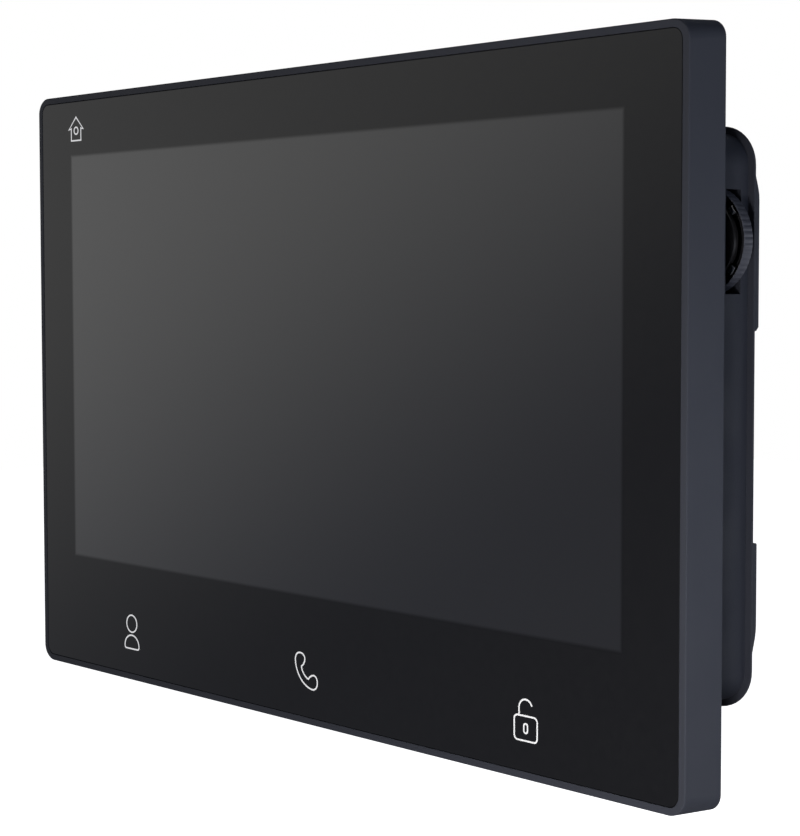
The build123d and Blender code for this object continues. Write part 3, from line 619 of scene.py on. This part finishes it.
def padlock_icon(bm):
    """Open padlock in outline."""
    left, right, top, bottom, corner = 53.6, 58.85, -51.20, -55.42, 0.75
    middle_x, middle_z = (left + right) / 2, (top + bottom) / 2
    add_stroke(
        bm, rounded_outline(right - left, top - bottom, corner, middle_x, middle_z, steps=8), True
    )
    radius, straight, rise = 1.52, 1.2, 1.30
    shackle = [(middle_x - radius, top), (middle_x - radius, top + straight)]
    shackle += arc(middle_x, top + rise, radius, 180, 20, 26)
    add_stroke(bm, shackle, False)
    keyhole = (0.85, 1.60, 0.42)
    add_stroke(bm, rounded_outline(*keyhole, middle_x, middle_z, steps=8), True)


def house_mark(bm):
    """A plain house outline with a round window, a generic sign for a home monitor."""
    x, foot, wide, wall, roof, eave, drop = -75.6, 52.3, 3.6, 2.6, 5.0, 0.9, 0.2
    add_stroke(
        bm,
        [
            (x - wide / 2, foot),
            (x + wide / 2, foot),
            (x + wide / 2, foot + wall),
            (x + wide / 2 + eave, foot + wall - drop),
            (x, foot + roof),
            (x - wide / 2 - eave, foot + wall - drop),
            (x - wide / 2, foot + wall),
        ],
        True,
    )
    window_rise, window = 2.1, 0.75
    add_stroke(bm, arc(x, foot + window_rise, window, 0, 360, 24), True)


ink = icon_print()
for name, builder in (
    ("icon_person", person_icon),
    ("icon_handset", handset_icon),
    ("icon_padlock", padlock_icon),
    ("mark_house", house_mark),
):
    icon = new_object(name, builder, [ink])
    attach(icon, "monitor")


# ------------------------------------------------------------------ volume dial
dial_low, dial_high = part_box("volume_dial")
DIAL_X = (dial_low.x + dial_high.x) / 2
DIAL_Z = (dial_low.z + dial_high.z) / 2
DIAL_RADIUS = (dial_high.x - dial_low.x) / 2
KNURLS = 60
KNURL_DEPTH = 0.08 * MM
DIAL_STEPS = 8 * KNURLS
RIM_WIDTH = 0.30 * MM
RECESS = 1.0 * MM
HUB_RADIUS = 7.3 * MM
WELL_RADIUS = 1.52 * MM
WELL_FLOOR = 1.2 * MM
BORE_RADIUS = 0.85 * MM
SHARP_ANGLE = 35


def build_dial(bm):
    """A knurled wheel turned about Y, with a ring recess round a domed hub on the room side.

    The hub has a well for the screw's head, and a bore for its shank.
    """
    back = dial_high.y
    front = dial_low.y
    rim = DIAL_RADIUS - RIM_WIDTH
    # radius, level, share of the knurl depth, material: 0 satin, 1 gloss
    profile = [
        (BORE_RADIUS, back, 0, 0),
        (rim, back, 0, 0),
        (DIAL_RADIUS - 0.20 * MM, back, 0, 0),
        (DIAL_RADIUS - 0.06 * MM, back - 0.06 * MM, 0.6, 0),
        (DIAL_RADIUS, back - 0.22 * MM, 1, 0),
        (DIAL_RADIUS, (back + front) / 2, 1, 0),
        (DIAL_RADIUS, front + 0.20 * MM, 1, 0),
        (DIAL_RADIUS - 0.05 * MM, front + 0.06 * MM, 0.8, 0),
        (DIAL_RADIUS - 0.14 * MM, front, 0.5, 1),
        (rim + 0.06 * MM, front, 0, 1),
        (rim + 0.02 * MM, front + 0.03 * MM, 0, 1),
        (rim, front + 0.12 * MM, 0, 1),
        (rim, front + RECESS, 0, 1),
        (HUB_RADIUS + 0.06 * MM, front + RECESS, 0, 1),
        (HUB_RADIUS, front + RECESS - 0.06 * MM, 0, 1),
        (HUB_RADIUS - 0.12 * MM, front + 0.50 * MM, 0, 1),
        (HUB_RADIUS - 0.40 * MM, front + 0.24 * MM, 0, 1),
        (HUB_RADIUS * 0.75, front + 0.08 * MM, 0, 1),
        (HUB_RADIUS * 0.50, front + 0.02 * MM, 0, 1),
        (WELL_RADIUS, front, 0, 1),
        (WELL_RADIUS, back - WELL_FLOOR, 0, 0),
        (BORE_RADIUS, back - WELL_FLOOR, 0, 0),
    ]
    rings = []
    for radius, y, knurl, _ in profile:
        ring = []
        for step in range(DIAL_STEPS):
            turn = 2 * math.pi * step / DIAL_STEPS
            wave = 0.5 - 0.5 * math.cos(KNURLS * turn)
            reach = radius - knurl * KNURL_DEPTH * wave**2
            ring.append(
                bm.verts.new((DIAL_X + reach * math.cos(turn), y, DIAL_Z + reach * math.sin(turn)))
            )
        rings.append(ring)
    for i in range(len(profile)):
        skin_between(bm, rings[i], rings[(i + 1) % len(rings)], profile[i][3])


dial_wheel = new_object("dial_wheel", build_dial, [dial_plastic, dial_gloss], smooth=True)
dial_wheel.data.set_sharp_from_angle(angle=math.radians(SHARP_ANGLE))
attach(dial_wheel, "dial")
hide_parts("volume_dial")


# ------------------------------------------------------------------ studio
FLOOR_LEVEL = -0.40
FLOOR_SIZE = 7.0

# Camera: place in metres, direction of view, roll in degrees, lens and sensor in millimetres
CAMERA_PLACE = Vector((0.27320, -0.25766, 0.02138))
CAMERA_VIEW = Vector((-0.72542, 0.68629, -0.05268))
CAMERA_ROLL = -0.10
LENS = 82.50
SENSOR_WIDTH = 36.0
SHIFT_Y = -0.0395

# Room light: how bright each part of the surroundings is
DARK = rgb(0.205, 0.212, 0.248)
BRIGHT = rgb(0.610, 0.610, 0.610)
CEILING = rgb(0.160, 0.165, 0.185)
RIGHT_WALL = rgb(0.07, 0.075, 0.09)
LOW_GLOW = rgb(0.85, 0.89, 1.0)
# The front gradient rises along one direction, then falls again like the far side of a softbox
GRADIENT_AXIS = (-0.510, 0.233, 0.828)
RISE = (0.050, 0.330)
FALL = (0.44, 0.70)
# To the right and behind, a band glows a little below the level of the part
REAR_AXIS = (0.7, 0.7, 0.0)
REAR_EDGE = (-0.2, 0.3)
BAND_BELOW = 0.16
BAND_WIDTH = 0.30

# Lamps: name, place, aim, size in metres, power, colour, spread in degrees
LAMPS = (
    ("near_right", (0.150, -0.140, -0.04), (0.08, 0, 0), 0.03, 0.20, (1.0, 0.96, 0.84), 180),
    ("low_right", (0.235, -0.270, -0.17), (0.08, 0, -0.03), 0.06, 0.27, (1.0, 0.97, 0.92), 70),
    ("side_right", (0.30, 0.02, 0.03), (0.09, 0, 0.0), 0.10, 0.28, (0.76, 0.87, 1.0), 180),
    ("rear", (-0.45, 0.75, 0.50), (0, 0, 0), 0.80, 9.0, (1.0, 1.0, 1.0), 180),
)


def stage_floor():
    """A wide pale sheet below the part."""
    made, tree, shader = material("stage_paper", rgb(0.90, 0.90, 0.90), 0.9)
    # the sweep glows evenly, standing in for one lit by lamps of its own
    shader.inputs["Emission Color"].default_value = rgb(1.0, 1.0, 1.0)
    shader.inputs["Emission Strength"].default_value = 1.0
    tree.put(
        shader.inputs["Base Color"],
        tree.mix(tree.noise(0.05, detail=4.0), rgb(0.92, 0.92, 0.92), rgb(0.94, 0.94, 0.94)),
    )

    def build(bm):
        half = FLOOR_SIZE / 2
        corners = ((-half, -half), (half, -half), (half, half), (-half, half))
        bm.faces.new([bm.verts.new((x, y, FLOOR_LEVEL)) for x, y in corners])

    floor = new_object("stage_floor", build, [made])
    floor.visible_glossy = False
    floor.visible_diffuse = False


def studio_world():
    """White to the camera; for light and reflections a soft gradient, dim to the right and behind."""
    world = bpy.data.worlds.new("studio")
    scene.world = world
    world.use_nodes = True
    tree = Tree(world.node_tree)
    tree.nodes.clear()
    direction = tree.add("ShaderNodeTexCoord").outputs["Generated"]
    gradient = tree.along(direction, GRADIENT_AXIS)
    front_glow = tree.mix(tree.ramp(gradient, *RISE), DARK, BRIGHT)
    front_glow = tree.mix(tree.ramp(gradient, *FALL), front_glow, CEILING)
    height = tree.add("ShaderNodeSeparateXYZ", {"Vector": direction}).outputs[2]
    rearward = tree.along(direction, REAR_AXIS)
    off_centre = tree.math("ABSOLUTE", tree.math("ADD", height, BAND_BELOW))
    band = tree.mix(tree.ramp(off_centre, 0.0, BAND_WIDTH), LOW_GLOW, RIGHT_WALL)
    glow = tree.mix(tree.ramp(rearward, *REAR_EDGE), front_glow, band)
    soft = tree.add("ShaderNodeBackground", {"Color": glow, "Strength": 1.0})
    white = tree.add("ShaderNodeBackground", {"Color": rgb(1, 1, 1), "Strength": 1.0})
    seen = tree.add("ShaderNodeLightPath").outputs["Is Camera Ray"]
    mixed = tree.add("ShaderNodeMixShader", {0: seen, 1: soft.outputs[0], 2: white.outputs[0]})
    out = tree.add("ShaderNodeOutputWorld")
    tree.links.new(mixed.outputs[0], out.inputs["Surface"])


def soft_light(name, place, aim, size, power, colour, spread):
    """A square lamp that lights surfaces and is not itself seen or mirrored."""
    data = bpy.data.lights.new(name, "AREA")
    data.shape = "SQUARE"
    data.size = size
    data.energy = power
    data.spread = math.radians(spread)
    data.color = colour
    lamp = bpy.data.objects.new(name, data)
    lamp.location = place
    lamp.rotation_euler = (Vector(aim) - Vector(place)).to_track_quat("-Z", "Y").to_euler()
    lamp.visible_camera = False
    lamp.visible_glossy = False
    scene.collection.objects.link(lamp)


def camera():
    """Right of the monitor and almost level with its middle, close enough for strong perspective."""
    data = bpy.data.cameras.new("camera")
    data.lens = LENS
    data.sensor_width = SENSOR_WIDTH
    data.shift_y = SHIFT_Y
    data.clip_start = 0.01
    data.dof.use_dof = False
    made = bpy.data.objects.new("camera", data)
    made.location = CAMERA_PLACE
    level_view = CAMERA_VIEW.to_track_quat("-Z", "Y")
    made.rotation_euler = (level_view @ Quaternion((0, 0, 1), math.radians(CAMERA_ROLL))).to_euler()
    scene.collection.objects.link(made)
    scene.camera = made


stage_floor()
studio_world()
for lamp in LAMPS:
    soft_light(*lamp)
camera()
scene.view_settings.view_transform = "Standard"
